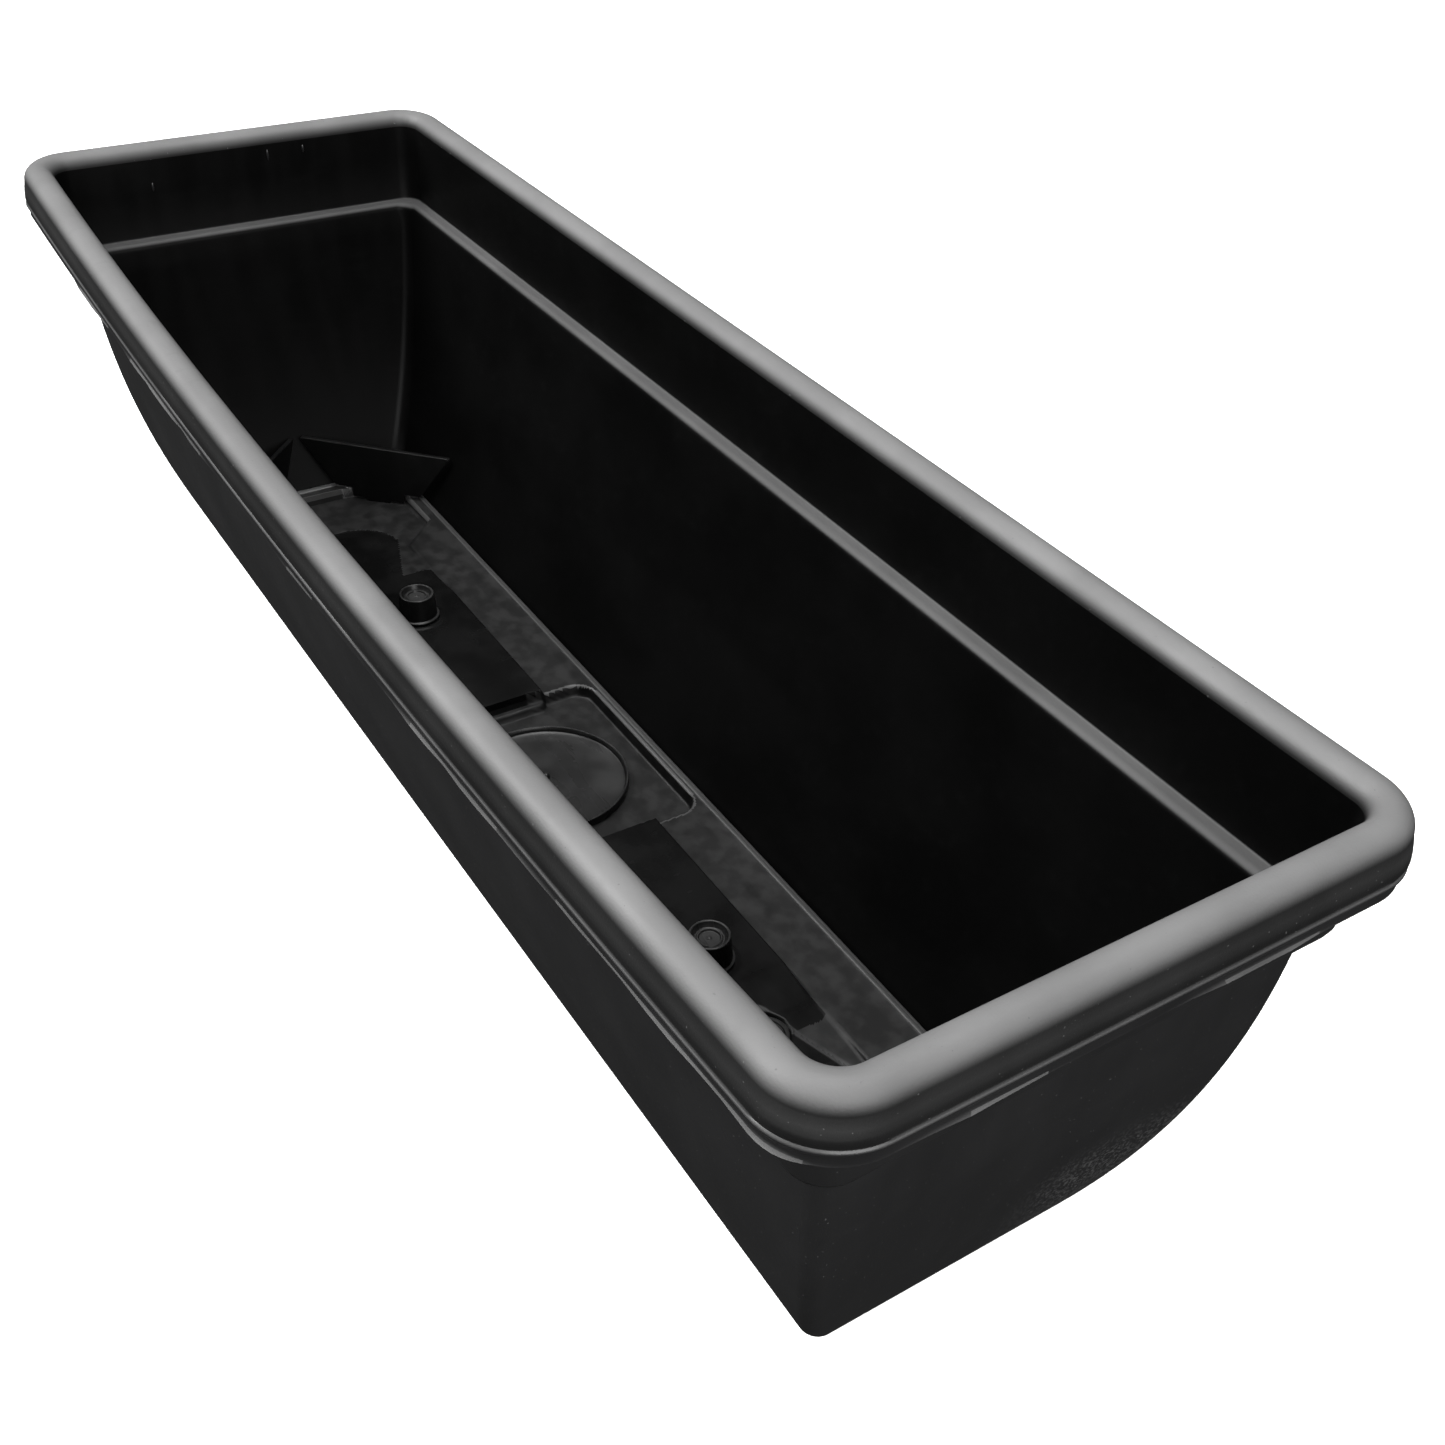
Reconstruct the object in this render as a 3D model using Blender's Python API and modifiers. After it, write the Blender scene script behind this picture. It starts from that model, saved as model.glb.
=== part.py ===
"""Self-watering trough planter: an open moulded trough with a lift-out false floor.

Frame: +X along the trough, +Y across it, +Z up.  The origin is the middle of the
footprint on the ground.  All sizes are in metres, and every depth is measured down
from the top of the rim at the trough's ends.
"""
import math

import bmesh
import bpy

# Driving dimensions
OVERALL_LENGTH = 0.600
HEIGHT = 0.190
GAP = 0.0003                   # clearance between pieces that touch

# Rim, skirt, collar and ledge; an inset is measured inwards from the middle of the rim tube
BEAD_REACH = 0.0071            # how far the lip bead stands out from the middle of the rim tube
RIM_LENGTH = OVERALL_LENGTH / 2 - BEAD_REACH
RIM_WIDTH = 0.0866
RIM_RADIUS = 0.00575
RIM_CORNER = 0.0136            # plan corner radius at the middle of the rim tube
SIDE_BOW = 0.0052              # how far each long side bulges outwards at mid-length
SIDE_SAG = 0.0040              # how far the rim droops at mid-length
BEAD_DEPTH = 0.0149
SKIRT_DEPTH = 0.0198
SKIRT_FLARE = 0.0010           # how far the skirt spreads outwards from the tube to the bead
LEDGE_DEPTH = 0.0393
LEDGE_FLAT = 0.0090            # inset where the ledge's flat top meets its rounded edge
LEDGE_ROUND = 0.0030

# Bowed wall and base
WALL = 0.0024
BODY_DEPTH = 0.0420            # the bowed wall begins here, under the ledge
BODY_INSET = 0.0100
BODY_DRAFT = 0.0075            # straight part of the wall's taper, over its whole depth
BODY_CURVE = 0.0340            # curved part of the wall's taper
BODY_POWER = 2.4
BODY_CORNER = 0.0052           # plan corner radius of the outer wall
BASE_THICKNESS = 0.0045
FOOT_HEIGHT = 0.0020
FOOT_WIDTH = 0.0080

# False floor; heights are above its level strip
STRIP_TOP = 0.0290             # height of the strip above the ground
PLATE = 0.0020                 # moulded thickness
PLATE_LENGTH = 0.2530          # half length
PLATE_WIDTH = 0.0464           # half width
END_STRIP = 0.0070
PLATE_LIP = 0.0015             # height of the lip along the plate's edge
PLATE_LIP_WIDTH = 0.0018
HEAD_WIDTH = 0.0395            # half width of the sunk head of each panel
HEAD_DROP = 0.0045             # drop of a head at its outer edge
HEAD_INNER = 0.1500            # where a head meets the strip's level
NECK_OUTER = 0.1830
PANEL_WIDTH = 0.0225           # half width of the raised panels
PANEL_INNER = 0.0466
PANEL_FLAT = 0.1340            # where a panel's flat top ends and its ramp begins
PANEL_RISE = 0.0030
PAD_LENGTH = 0.0463            # half length of the sunk centre pad
PAD_WIDTH = 0.0418
PAD_CORNER = 0.0080
PAD_DROP = 0.0047

# Corner baffles, upright plates across the corners
BAFFLE_LINE = 0.2636           # |x| + |y| all along a baffle's middle
BAFFLE_Y = 0.0291              # |y| at the middle of a baffle
BAFFLE_THICKNESS = 0.0024
BAFFLE_TOP = 0.0540            # height above the ground
BAFFLE_TOP_HALF = 0.0380
BAFFLE_FOOT_HALF = 0.0217      # half length just above the plate's lip
BAFFLE_SEAT_HALF = 0.0130      # half length of the foot that stands in the sunk head
BAFFLE_SINK = 0.0031           # how far the foot stands below the strip
BAFFLE_EDGE = 0.0045           # plate left outside a baffle
PANEL_LINE = 0.2660            # |x| + |y| along the corner of a panel's head
TONGUE_HALF = 0.0055
TONGUE_LENGTH = 0.0095

# Overflow plugs, and the standpipes that they close; a standpipe is moulded shut at the base,
# and is knocked through only where rain has to run out
PLUG_X = 0.1205
PLUG_RADIUS = 0.0082
PLUG_TOP_RADIUS = 0.0074
PLUG_HEIGHT = 0.0115
PLUG_FLANGE = 0.0092
PLUG_STEM = 0.0046
PLUG_DIP = 0.0150              # how far the stem reaches below the head
PLUG_CLEARANCE = 0.0005
STANDPIPE_RADIUS = 0.0072
STANDPIPE_TOP = 0.0255         # height above the ground
BOSS_RADIUS = 0.0105
BOSS_HEIGHT = 0.0006

# Reservoir cap in the pad, and the flush bung near one end
CAP_RADIUS = 0.0322
CAP_HEIGHT = 0.0034
CAP_SPIGOT = 0.0120
CAP_DIP = 0.0055
BUNG_X = 0.1560
BUNG_RADIUS = 0.0083
BUNG_THICKNESS = 0.0012
BUNG_SPIGOT = 0.0060
BUNG_DIP = 0.0050

# Legs under the false floor: |x|, |y| and how far below the strip each one joins it
LEG_PLACES = [(0.075, 0.022, 0.0010), (0.190, 0.016, 0.0030)]
LEG_RADIUS = 0.0040

# Mesh divisions
CORNER_STEPS = 6
LONG_STEPS = 10
SHORT_STEPS = 2
ROUND_STEPS = 40

BLACK_PLASTIC = (0.022, 0.022, 0.023)
DARK_PLASTIC = (0.018, 0.018, 0.019)
CAP_PLASTIC = (0.026, 0.026, 0.027)


# ---------------------------------------------------------------- general helpers
def clear_scene():
    for obj in list(bpy.data.objects):
        bpy.data.objects.remove(obj, do_unlink=True)


def add_collection(name):
    collection = bpy.data.collections.new(name)
    bpy.context.scene.collection.children.link(collection)
    return collection


def plastic(name, colour, roughness):
    material = bpy.data.materials.new(name)
    material.use_nodes = True
    shader = material.node_tree.nodes["Principled BSDF"]
    shader.inputs["Base Color"].default_value = (*colour, 1.0)
    shader.inputs["Roughness"].default_value = roughness
    shader.inputs["Metallic"].default_value = 0.0
    return material


def add_object(name, mesh, collection, location=(0, 0, 0), turn=0.0):
    """Link a mesh as an object at a place, turned about Z."""
    obj = bpy.data.objects.new(name, mesh)
    obj.location = location
    obj.rotation_euler = (0, 0, turn)
    collection.objects.link(obj)
    return obj


def add_part(name, mesh, material, location=(0, 0, 0), turn=0.0):
    mesh.materials.append(material)
    return add_object(name, mesh, PARTS, location, turn)


def use_tool(target, operation, name, mesh, location=(0, 0, 0), turn=0.0):
    """Join a mesh to a part, or cut it away, with a Boolean modifier."""
    tool = add_object(name, mesh, CUTTERS, location, turn)
    tool.hide_render = True
    tool.display_type = "WIRE"
    modifier = target.modifiers.new(name, "BOOLEAN")
    modifier.operation = operation
    modifier.solver = "EXACT"
    modifier.object = tool


def smooth(obj, angle=30):
    obj.data.shade_smooth()
    obj.data.set_sharp_from_angle(angle=math.radians(angle))


def finish_mesh(bm, name):
    bmesh.ops.recalc_face_normals(bm, faces=bm.faces)
    mesh = bpy.data.meshes.new(name)
    bm.to_mesh(mesh)
    bm.free()
    return mesh


def prism(points, low, high, slope=0.0, pivot=0.0):
    """Extrude an outline upwards; with a slope, every height falls with x beyond the pivot."""
    bm = bmesh.new()
    base = bm.faces.new([bm.verts.new((x, y, low)) for x, y in points])
    side = bmesh.ops.extrude_face_region(bm, geom=[base])["geom"]
    top = [item for item in side if isinstance(item, bmesh.types.BMVert)]
    bmesh.ops.translate(bm, verts=top, vec=(0, 0, high - low))
    for vert in bm.verts:
        vert.co.z -= slope * (vert.co.x - pivot)
    return finish_mesh(bm, "prism")


def upright_prism(points, half):
    """Extrude an outline of (x, z) points both ways along Y."""
    mesh = prism(points, -half, half)
    for vert in mesh.vertices:
        along, up, across = vert.co
        vert.co = (along, -across, up)
    return mesh


def cylinder(radius, low, high, steps=ROUND_STEPS):
    bm = bmesh.new()
    bmesh.ops.create_cone(bm, cap_ends=True, segments=steps, radius1=radius, radius2=radius,
                          depth=high - low)
    bmesh.ops.translate(bm, verts=bm.verts, vec=(0, 0, (low + high) / 2))
    return finish_mesh(bm, "cylinder")


def flip(points, sx, sy=1):
    return [(sx * x, sy * y) for x, y in points]


def arc(centre_r, centre_z, radius, start, end, steps):
    """Points of an arc in the (r, z) plane, angles in degrees."""
    points = []
    for step in range(steps + 1):
        angle = math.radians(start + (end - start) * step / steps)
        points.append((centre_r + radius * math.cos(angle), centre_z + radius * math.sin(angle)))
    return points


def turned_part(name, profile, material, location):
    """Turn an (r, z) profile, listed down its outer side, about Z."""
    mesh = bpy.data.meshes.new(name)
    mesh.from_pydata([(r, 0, z) for r, z in profile],
                     [(i, i + 1) for i in range(len(profile) - 1)], [])
    obj = add_part(name, mesh, material, location)
    screw = obj.modifiers.new("turn", "SCREW")
    screw.steps = ROUND_STEPS
    screw.render_steps = ROUND_STEPS
    screw.use_merge_vertices = True
    screw.merge_threshold = 0.00001
    screw.use_smooth_shade = True
    return obj


def rounded_rectangle(half_x, half_y, radius, long_steps=1, short_steps=1):
    """Points round a rectangle with arc corners, anticlockwise from +X."""
    points = []
    for quarter, (sx, sy) in enumerate([(1, 1), (-1, 1), (-1, -1), (1, -1)]):
        centre_x = sx * (half_x - radius)
        centre_y = sy * (half_y - radius)
        for step in range(CORNER_STEPS + 1):
            angle = math.radians(90 * (quarter + step / CORNER_STEPS))
            points.append((centre_x + radius * math.cos(angle),
                           centre_y + radius * math.sin(angle)))
        last_x, last_y = points[-1]
        divisions = long_steps if quarter % 2 == 0 else short_steps
        for division in range(1, divisions):
            share = 2 * division / divisions
            if quarter % 2 == 0:
                points.append((last_x * (1 - share), last_y))
            else:
                points.append((last_x, last_y * (1 - share)))
    return points


# ---------------------------------------------------------------- trough
def taper(depth):
    return max(0.0, (depth - BODY_DEPTH) / (HEIGHT - BODY_DEPTH))


def wall_inset(depth):
    """Inset of the outer wall: drafted all the way down, and bowed more and more inwards."""
    return BODY_INSET + BODY_DRAFT * taper(depth) + BODY_CURVE * taper(depth) ** BODY_POWER


def base_and_wall_section():
    """Outer wall from the middle of the base up to the ledge."""
    edge = wall_inset(HEIGHT)
    section = [(edge + FOOT_WIDTH + 0.001, HEIGHT - FOOT_HEIGHT, 0.004),
               (edge + FOOT_WIDTH, HEIGHT, 0.004),
               (edge + 0.0016, HEIGHT, BODY_CORNER),
               (edge + 0.0002, HEIGHT - 0.0008, BODY_CORNER)]
    low, high, steps = HEIGHT - 0.003, BODY_DEPTH - 0.0008, 11
    for step in range(steps + 1):
        depth = low + (high - low) * step / steps
        section.append((wall_inset(depth), depth, BODY_CORNER))
    return section


def rim_section():
    """Collar outside, hollow skirt, lip bead, half-round rim and collar inside."""
    hollow = RIM_RADIUS - WALL + 0.0004
    face = RIM_RADIUS + 0.0003
    section = [(LEDGE_FLAT, LEDGE_DEPTH + 0.0016, 0.0060),
               (hollow + 0.0008, LEDGE_DEPTH + 0.0010, 0.0098),
               (hollow, LEDGE_DEPTH - 0.0010, 0.0100)]
    section += [(r, -z, RIM_CORNER - r) for r, z in arc(0, -RIM_RADIUS, hollow, 0, 180, 6)]
    section += [(-hollow - SKIRT_FLARE, BEAD_DEPTH, RIM_CORNER + hollow),
                (-hollow - SKIRT_FLARE, SKIRT_DEPTH, RIM_CORNER + hollow),
                (-face, SKIRT_DEPTH - 0.0005, RIM_CORNER + face),
                (-face, BEAD_DEPTH + 0.0016, RIM_CORNER + face),
                (-BEAD_REACH + 0.0004, BEAD_DEPTH + 0.0009, RIM_CORNER + BEAD_REACH),
                (-BEAD_REACH, BEAD_DEPTH, RIM_CORNER + BEAD_REACH),
                (-BEAD_REACH + 0.0002, BEAD_DEPTH - 0.0009, RIM_CORNER + BEAD_REACH),
                (-RIM_RADIUS - SKIRT_FLARE, BEAD_DEPTH - 0.0024, RIM_CORNER + RIM_RADIUS),
                (-RIM_RADIUS - 0.6 * SKIRT_FLARE, 0.0090, RIM_CORNER + RIM_RADIUS)]
    section += [(r, -z, RIM_CORNER - r) for r, z in arc(0, -RIM_RADIUS, RIM_RADIUS, 180, 0, 12)]
    return section


def ledge_and_floor_section():
    """Collar's foot, ledge, inner wall and the rounded edge of the floor inside."""
    section = [(RIM_RADIUS + 0.0003, LEDGE_DEPTH - 0.0009, 0.0078),
               (RIM_RADIUS + 0.0010, LEDGE_DEPTH, 0.0074)]
    section += [(r, -z, 0.0064) for r, z in
                arc(LEDGE_FLAT, -LEDGE_DEPTH - LEDGE_ROUND, LEDGE_ROUND, 90, 0, 4)]
    floor = HEIGHT - BASE_THICKNESS
    low, steps = floor - 0.006, 11
    for step in range(1, steps + 1):
        depth = BODY_DEPTH + (low - BODY_DEPTH) * step / steps
        section.append((wall_inset(depth) + WALL, depth, 0.0040 + 0.0030 * taper(depth)))
    foot = wall_inset(low) + WALL
    section += [(foot + 0.0036, floor - 0.0030, 0.0080),
                (foot + 0.0066, floor - 0.0008, 0.0080),
                (foot + 0.0095, floor, 0.0080)]
    return section


def trough_ring(bm, inset, depth, radius):
    """One level of the trough: a rounded rectangle whose long sides bow out and droop."""
    half_x = RIM_LENGTH - inset
    half_y = RIM_WIDTH - inset
    fade = max(0.0, 1.0 - depth / (0.85 * HEIGHT)) ** 1.2
    ring = []
    for x, y in rounded_rectangle(half_x, half_y, radius, LONG_STEPS, SHORT_STEPS):
        middle = fade * (1.0 - (x / half_x) ** 2)
        point = (x, y * (1.0 + SIDE_BOW * middle / half_y), HEIGHT - depth - SIDE_SAG * middle)
        ring.append(bm.verts.new(point))
    return ring


def make_trough(material):
    """Loft the wall's section round the trough, then add the two standpipes."""
    bm = bmesh.new()
    section = base_and_wall_section() + rim_section() + ledge_and_floor_section()
    rings = [trough_ring(bm, *level) for level in section]
    for lower, upper in zip(rings, rings[1:]):
        for i in range(len(lower)):
            j = (i + 1) % len(lower)
            bm.faces.new((lower[i], lower[j], upper[j], upper[i]))
    bm.faces.new(rings[0])
    bm.faces.new(rings[-1])
    trough = add_part("trough", finish_mesh(bm, "trough"), material)
    bore = PLUG_STEM + PLUG_CLEARANCE
    for name, side in (("far", -1), ("near", 1)):
        place = (side * PLUG_X, 0, 0)
        pipe = cylinder(STANDPIPE_RADIUS, BASE_THICKNESS - 0.001, STANDPIPE_TOP)
        use_tool(trough, "UNION", f"standpipe_{name}", pipe, place)
        hole = cylinder(bore, BASE_THICKNESS, STANDPIPE_TOP + 0.01)
        use_tool(trough, "DIFFERENCE", f"standpipe_bore_{name}", hole, place)
    smooth(trough)


# ---------------------------------------------------------------- false floor
def panel_height(x):
    """Top of a panel above the strip: flat, then a ramp, then the head's fall."""
    if x < PANEL_FLAT:
        return PANEL_RISE
    if x < HEAD_INNER:
        return PANEL_RISE * (HEAD_INNER - x) / (HEAD_INNER - PANEL_FLAT)
    return HEAD_DROP * (HEAD_INNER - x) / (PLATE_LENGTH - END_STRIP - HEAD_INNER)


def head_outline(grow):
    """The arrow-shaped sunk head of one panel, at +X, grown by a wall's thickness."""
    end = PLATE_LENGTH - END_STRIP + grow
    line = PANEL_LINE + grow * math.sqrt(2)
    wide = HEAD_WIDTH + grow
    narrow = PANEL_WIDTH + grow
    inner = HEAD_INNER - grow
    half = [(end, line - end), (line - wide, wide),
            (NECK_OUTER + wide - narrow, wide), (NECK_OUTER, narrow), (inner, narrow)]
    return half + [(x, -y) for x, y in reversed(half)]


def plate_outline(inset):
    """The false floor's edge: a long rectangle, its corners cut off outside the baffles."""
    line = BAFFLE_LINE + BAFFLE_EDGE - inset * math.sqrt(2)
    end = PLATE_LENGTH - inset
    side = PLATE_WIDTH - inset
    corner = [(end, line - end), (line - side, side)]
    right = flip(reversed(corner), 1, -1) + corner
    return right + flip(reversed(right), -1)


def shape_panel(plate, name, side):
    """One panel: its head is a sunk, sloping tray, its inner part raised, with a ramp."""
    turn = 0.0 if side > 0 else math.pi
    place = (0, 0, STRIP_TOP)
    slope = HEAD_DROP / (PLATE_LENGTH - END_STRIP - HEAD_INNER)
    tray = prism(head_outline(PLATE), -PLATE - 0.0004, -0.0004, slope, HEAD_INNER)
    for vert in tray.vertices:
        if vert.co.z > -0.0004 - slope * (vert.co.x - HEAD_INNER) - 0.0001:
            vert.co.z = -0.0004
    use_tool(plate, "UNION", f"head_tray_{name}", tray, place, turn)
    pocket = prism(head_outline(0.0), 0.0, 0.02, slope, HEAD_INNER)
    use_tool(plate, "DIFFERENCE", f"head_pocket_{name}", pocket, place, turn)
    raised = [(PANEL_INNER, -0.0010), (HEAD_INNER, -0.0010), (HEAD_INNER, 0.0),
              (PANEL_FLAT, PANEL_RISE), (PANEL_INNER + 0.0006, PANEL_RISE),
              (PANEL_INNER, PANEL_RISE - 0.0006)]
    use_tool(plate, "UNION", f"panel_{name}", upright_prism(raised, PANEL_WIDTH), place, turn)


def shape_pad(plate):
    """Sink the centre pad and cut the hole for the cap's spigot."""
    place = (0, 0, STRIP_TOP)
    outline = rounded_rectangle(PAD_LENGTH + PLATE, PAD_WIDTH + PLATE, PAD_CORNER + PLATE)
    tray = prism(outline, -PAD_DROP - PLATE, -0.0006)
    use_tool(plate, "UNION", "pad_tray", tray, place)
    pocket = prism(rounded_rectangle(PAD_LENGTH, PAD_WIDTH, PAD_CORNER), -PAD_DROP, 0.02)
    use_tool(plate, "DIFFERENCE", "pad_pocket", pocket, place)
    use_tool(plate, "DIFFERENCE", "cap_hole", cylinder(CAP_SPIGOT + 0.0006, -0.02, 0.02), place)


def fit_plug(plate, name, side):
    """Boss and hole for one overflow plug."""
    place = (side * PLUG_X, 0, STRIP_TOP)
    seat = panel_height(PLUG_X) + BOSS_HEIGHT
    boss = cylinder(BOSS_RADIUS, -0.0010, seat)
    use_tool(plate, "UNION", f"plug_boss_{name}", boss, place)
    hole = cylinder(PLUG_STEM + PLUG_CLEARANCE, -0.02, 0.02)
    use_tool(plate, "DIFFERENCE", f"plug_hole_{name}", hole, place)


def fit_bung(plate):
    """Recess and hole for the flush bung."""
    place = (BUNG_X, 0, STRIP_TOP + panel_height(BUNG_X))
    recess = cylinder(BUNG_RADIUS + GAP, -BUNG_THICKNESS - GAP, 0.01)
    use_tool(plate, "DIFFERENCE", "bung_recess", recess, place)
    use_tool(plate, "DIFFERENCE", "bung_hole", cylinder(BUNG_SPIGOT + GAP, -0.02, 0.02), place)


def fit_corner(plate, name, sx, sy):
    """Slot for one baffle's tongue, and the legs in that quarter of the plate."""
    half_x = TONGUE_HALF + 2 * GAP
    half_y = BAFFLE_THICKNESS / 2 + GAP
    slot = prism([(half_x, half_y), (-half_x, half_y), (-half_x, -half_y), (half_x, -half_y)],
                 -0.02, 0.02)
    x, y, turn = baffle_place(sx, sy)
    use_tool(plate, "DIFFERENCE", f"baffle_slot_{name}", slot, (x, y, STRIP_TOP), turn)
    for number, (x, y, drop) in enumerate(LEG_PLACES, 1):
        leg = cylinder(LEG_RADIUS, BASE_THICKNESS + GAP, STRIP_TOP - drop, 20)
        use_tool(plate, "UNION", f"leg_{name}_{number}", leg, (sx * x, sy * y, 0))


def make_plate(material):
    place = (0, 0, STRIP_TOP)
    plate = add_part("reservoir_plate", prism(plate_outline(0.0), -PLATE, PLATE_LIP), material,
                     place)
    inner = prism(plate_outline(PLATE_LIP_WIDTH), 0.0, 0.02)
    use_tool(plate, "DIFFERENCE", "inside_lip", inner, place)
    for name, side in (("far", -1), ("near", 1)):
        shape_panel(plate, name, side)
    shape_pad(plate)
    for name, side in (("far", -1), ("near", 1)):
        fit_plug(plate, name, side)
    fit_bung(plate)
    for name, sx, sy in corners():
        fit_corner(plate, name, sx, sy)
    smooth(plate)
    return plate


# ---------------------------------------------------------------- corner baffles
def corners():
    """Name and signs of x and y of the four corners."""
    return [(f"{end}_{flank}", sx, sy)
            for end, sx in (("far", -1), ("near", 1))
            for flank, sy in (("front", -1), ("back", 1))]


def baffle_place(sx, sy):
    """Where a baffle stands, and its turn: across its corner at 45 degrees."""
    turn = math.radians(-45 * sx * sy)
    return sx * (BAFFLE_LINE - BAFFLE_Y), sy * BAFFLE_Y, turn


def make_baffle(name, sx, sy, material):
    """An upright trapezoid; its foot stands in a head, with a tongue through a slot there."""
    foot = GAP - BAFFLE_SINK
    clear = PLATE_LIP + GAP
    half = [(TONGUE_HALF, GAP - TONGUE_LENGTH), (TONGUE_HALF, foot), (BAFFLE_SEAT_HALF, foot),
            (BAFFLE_SEAT_HALF, clear), (BAFFLE_FOOT_HALF, clear),
            (BAFFLE_TOP_HALF, BAFFLE_TOP - STRIP_TOP)]
    mesh = upright_prism(half + flip(reversed(half), -1), BAFFLE_THICKNESS / 2)
    x, y, turn = baffle_place(sx, sy)
    baffle = add_part(f"corner_baffle_{name}", mesh, material, (x, y, 0), turn)
    edge = baffle.modifiers.new("edges", "BEVEL")
    edge.width = 0.0004
    edge.segments = 1
    return baffle


# ---------------------------------------------------------------- plugs, cap and bung
def make_plug(name, side, material):
    """Dished, tapered head on a flange, with a hollow stem that plugs the standpipe."""
    rim = 0.0010
    inner = PLUG_STEM - 0.0016
    profile = [(0.0, PLUG_HEIGHT - 0.0016), (PLUG_TOP_RADIUS - 0.0028, PLUG_HEIGHT - 0.0014)]
    profile += arc(PLUG_TOP_RADIUS - rim, PLUG_HEIGHT - rim, rim, 150, 0, 6)
    profile += [(PLUG_RADIUS, 0.0020), (PLUG_RADIUS + 0.0002, 0.0013),
                (PLUG_FLANGE - 0.0002, 0.0011), (PLUG_FLANGE, 0.0009), (PLUG_FLANGE, 0.0),
                (PLUG_STEM, 0.0), (PLUG_STEM - 0.0003, -PLUG_DIP + 0.0010),
                (PLUG_STEM - 0.0012, -PLUG_DIP), (inner, -PLUG_DIP),
                (inner, 0.0070), (0.0, 0.0080)]
    seat = panel_height(PLUG_X) + BOSS_HEIGHT + GAP
    return turned_part(f"overflow_plug_{name}", profile, material, (side * PLUG_X, 0, seat))


def make_cap(material):
    """A low saucer with a raised rim and a small pull nub, located by a spigot."""
    dish = CAP_HEIGHT - 0.0012
    skin = 0.0012
    profile = [(0.0, dish + 0.0024), (0.0009, dish + 0.0023), (0.0015, dish + 0.0017),
               (0.0019, dish + 0.0001), (0.0060, dish), (0.0150, dish - 0.0004),
               (CAP_RADIUS - 0.0080, dish - 0.0008), (CAP_RADIUS - 0.0035, dish)]
    profile += arc(CAP_RADIUS - 0.0012, CAP_HEIGHT - 0.0008, 0.0008, 130, 0, 4)
    profile += [(CAP_RADIUS, 0.0), (CAP_RADIUS - 0.0020, 0.0),
                (CAP_RADIUS - 0.0026, 0.0004), (CAP_SPIGOT, 0.0002),
                (CAP_SPIGOT - 0.0003, -CAP_DIP), (CAP_SPIGOT - 0.0020, -CAP_DIP),
                (CAP_SPIGOT - 0.0022, dish - skin), (0.0, dish - skin)]
    return turned_part("reservoir_cap", profile, material, (0, 0, -PAD_DROP + GAP))


def make_bung(material):
    """A flush disc with one ring groove, on a hollow spigot."""
    profile = [(0.0, 0.0), (BUNG_RADIUS - 0.0026, 0.0), (BUNG_RADIUS - 0.0022, -0.0004),
               (BUNG_RADIUS - 0.0018, 0.0), (BUNG_RADIUS - 0.0002, 0.0), (BUNG_RADIUS, -0.0002),
               (BUNG_RADIUS, -BUNG_THICKNESS), (BUNG_SPIGOT, -BUNG_THICKNESS),
               (BUNG_SPIGOT - 0.0003, -BUNG_DIP), (BUNG_SPIGOT - 0.0018, -BUNG_DIP),
               (BUNG_SPIGOT - 0.0020, -BUNG_THICKNESS), (0.0, -BUNG_THICKNESS)]
    return turned_part("drain_bung", profile, material, (BUNG_X, 0, panel_height(BUNG_X)))


# ---------------------------------------------------------------- assembly
def main():
    body = plastic("trough_plastic", BLACK_PLASTIC, 0.48)
    floor = plastic("floor_plastic", DARK_PLASTIC, 0.42)
    fittings = plastic("fittings_plastic", CAP_PLASTIC, 0.36)

    make_trough(body)
    plate = make_plate(floor)
    loose = [make_baffle(name, sx, sy, floor) for name, sx, sy in corners()]
    loose += [make_plug(name, side, fittings) for name, side in (("far", -1), ("near", 1))]
    loose += [make_cap(fittings), make_bung(fittings)]
    for piece in loose:
        piece.parent = plate


clear_scene()
PARTS = add_collection("self_watering_planter")
CUTTERS = add_collection("cutters")
main()
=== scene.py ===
"""Looks of the self-watering planter: a fine trough shell, moulded fittings, plastics, light, camera.

Depths are measured down from the rim's top at the trough's ends, and insets inwards from the
middle of the rim tube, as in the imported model.  All sizes are in metres.
"""
import math

import bmesh
import bpy
import numpy as np
from mathutils import Matrix, Vector, noise


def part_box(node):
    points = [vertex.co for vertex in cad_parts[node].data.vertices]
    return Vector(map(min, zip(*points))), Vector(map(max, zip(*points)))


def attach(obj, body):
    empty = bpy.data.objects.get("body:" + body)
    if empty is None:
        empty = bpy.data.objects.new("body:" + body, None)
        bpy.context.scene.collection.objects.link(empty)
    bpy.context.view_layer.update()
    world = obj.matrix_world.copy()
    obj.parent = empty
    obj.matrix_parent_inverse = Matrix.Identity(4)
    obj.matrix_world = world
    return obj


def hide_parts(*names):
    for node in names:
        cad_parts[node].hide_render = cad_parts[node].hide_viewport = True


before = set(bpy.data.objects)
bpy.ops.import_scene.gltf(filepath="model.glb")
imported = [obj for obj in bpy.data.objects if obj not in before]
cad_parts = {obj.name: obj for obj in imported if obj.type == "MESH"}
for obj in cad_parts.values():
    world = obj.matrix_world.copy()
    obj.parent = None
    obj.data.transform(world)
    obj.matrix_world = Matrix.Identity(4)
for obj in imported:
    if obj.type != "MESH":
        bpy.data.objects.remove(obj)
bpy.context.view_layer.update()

# Trough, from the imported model's box
TROUGH_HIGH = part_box("trough")[1]
HEIGHT = TROUGH_HIGH[2]
BEAD_REACH = 0.0071
SIDE_BOW = 0.0052              # how far each long side bulges outwards at mid-length
SIDE_SAG = 0.0040              # how far the rim droops at mid-length
RIM_LENGTH = TROUGH_HIGH[0] - BEAD_REACH
RIM_WIDTH = 0.0866
RIM_RADIUS = 0.00575
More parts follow.
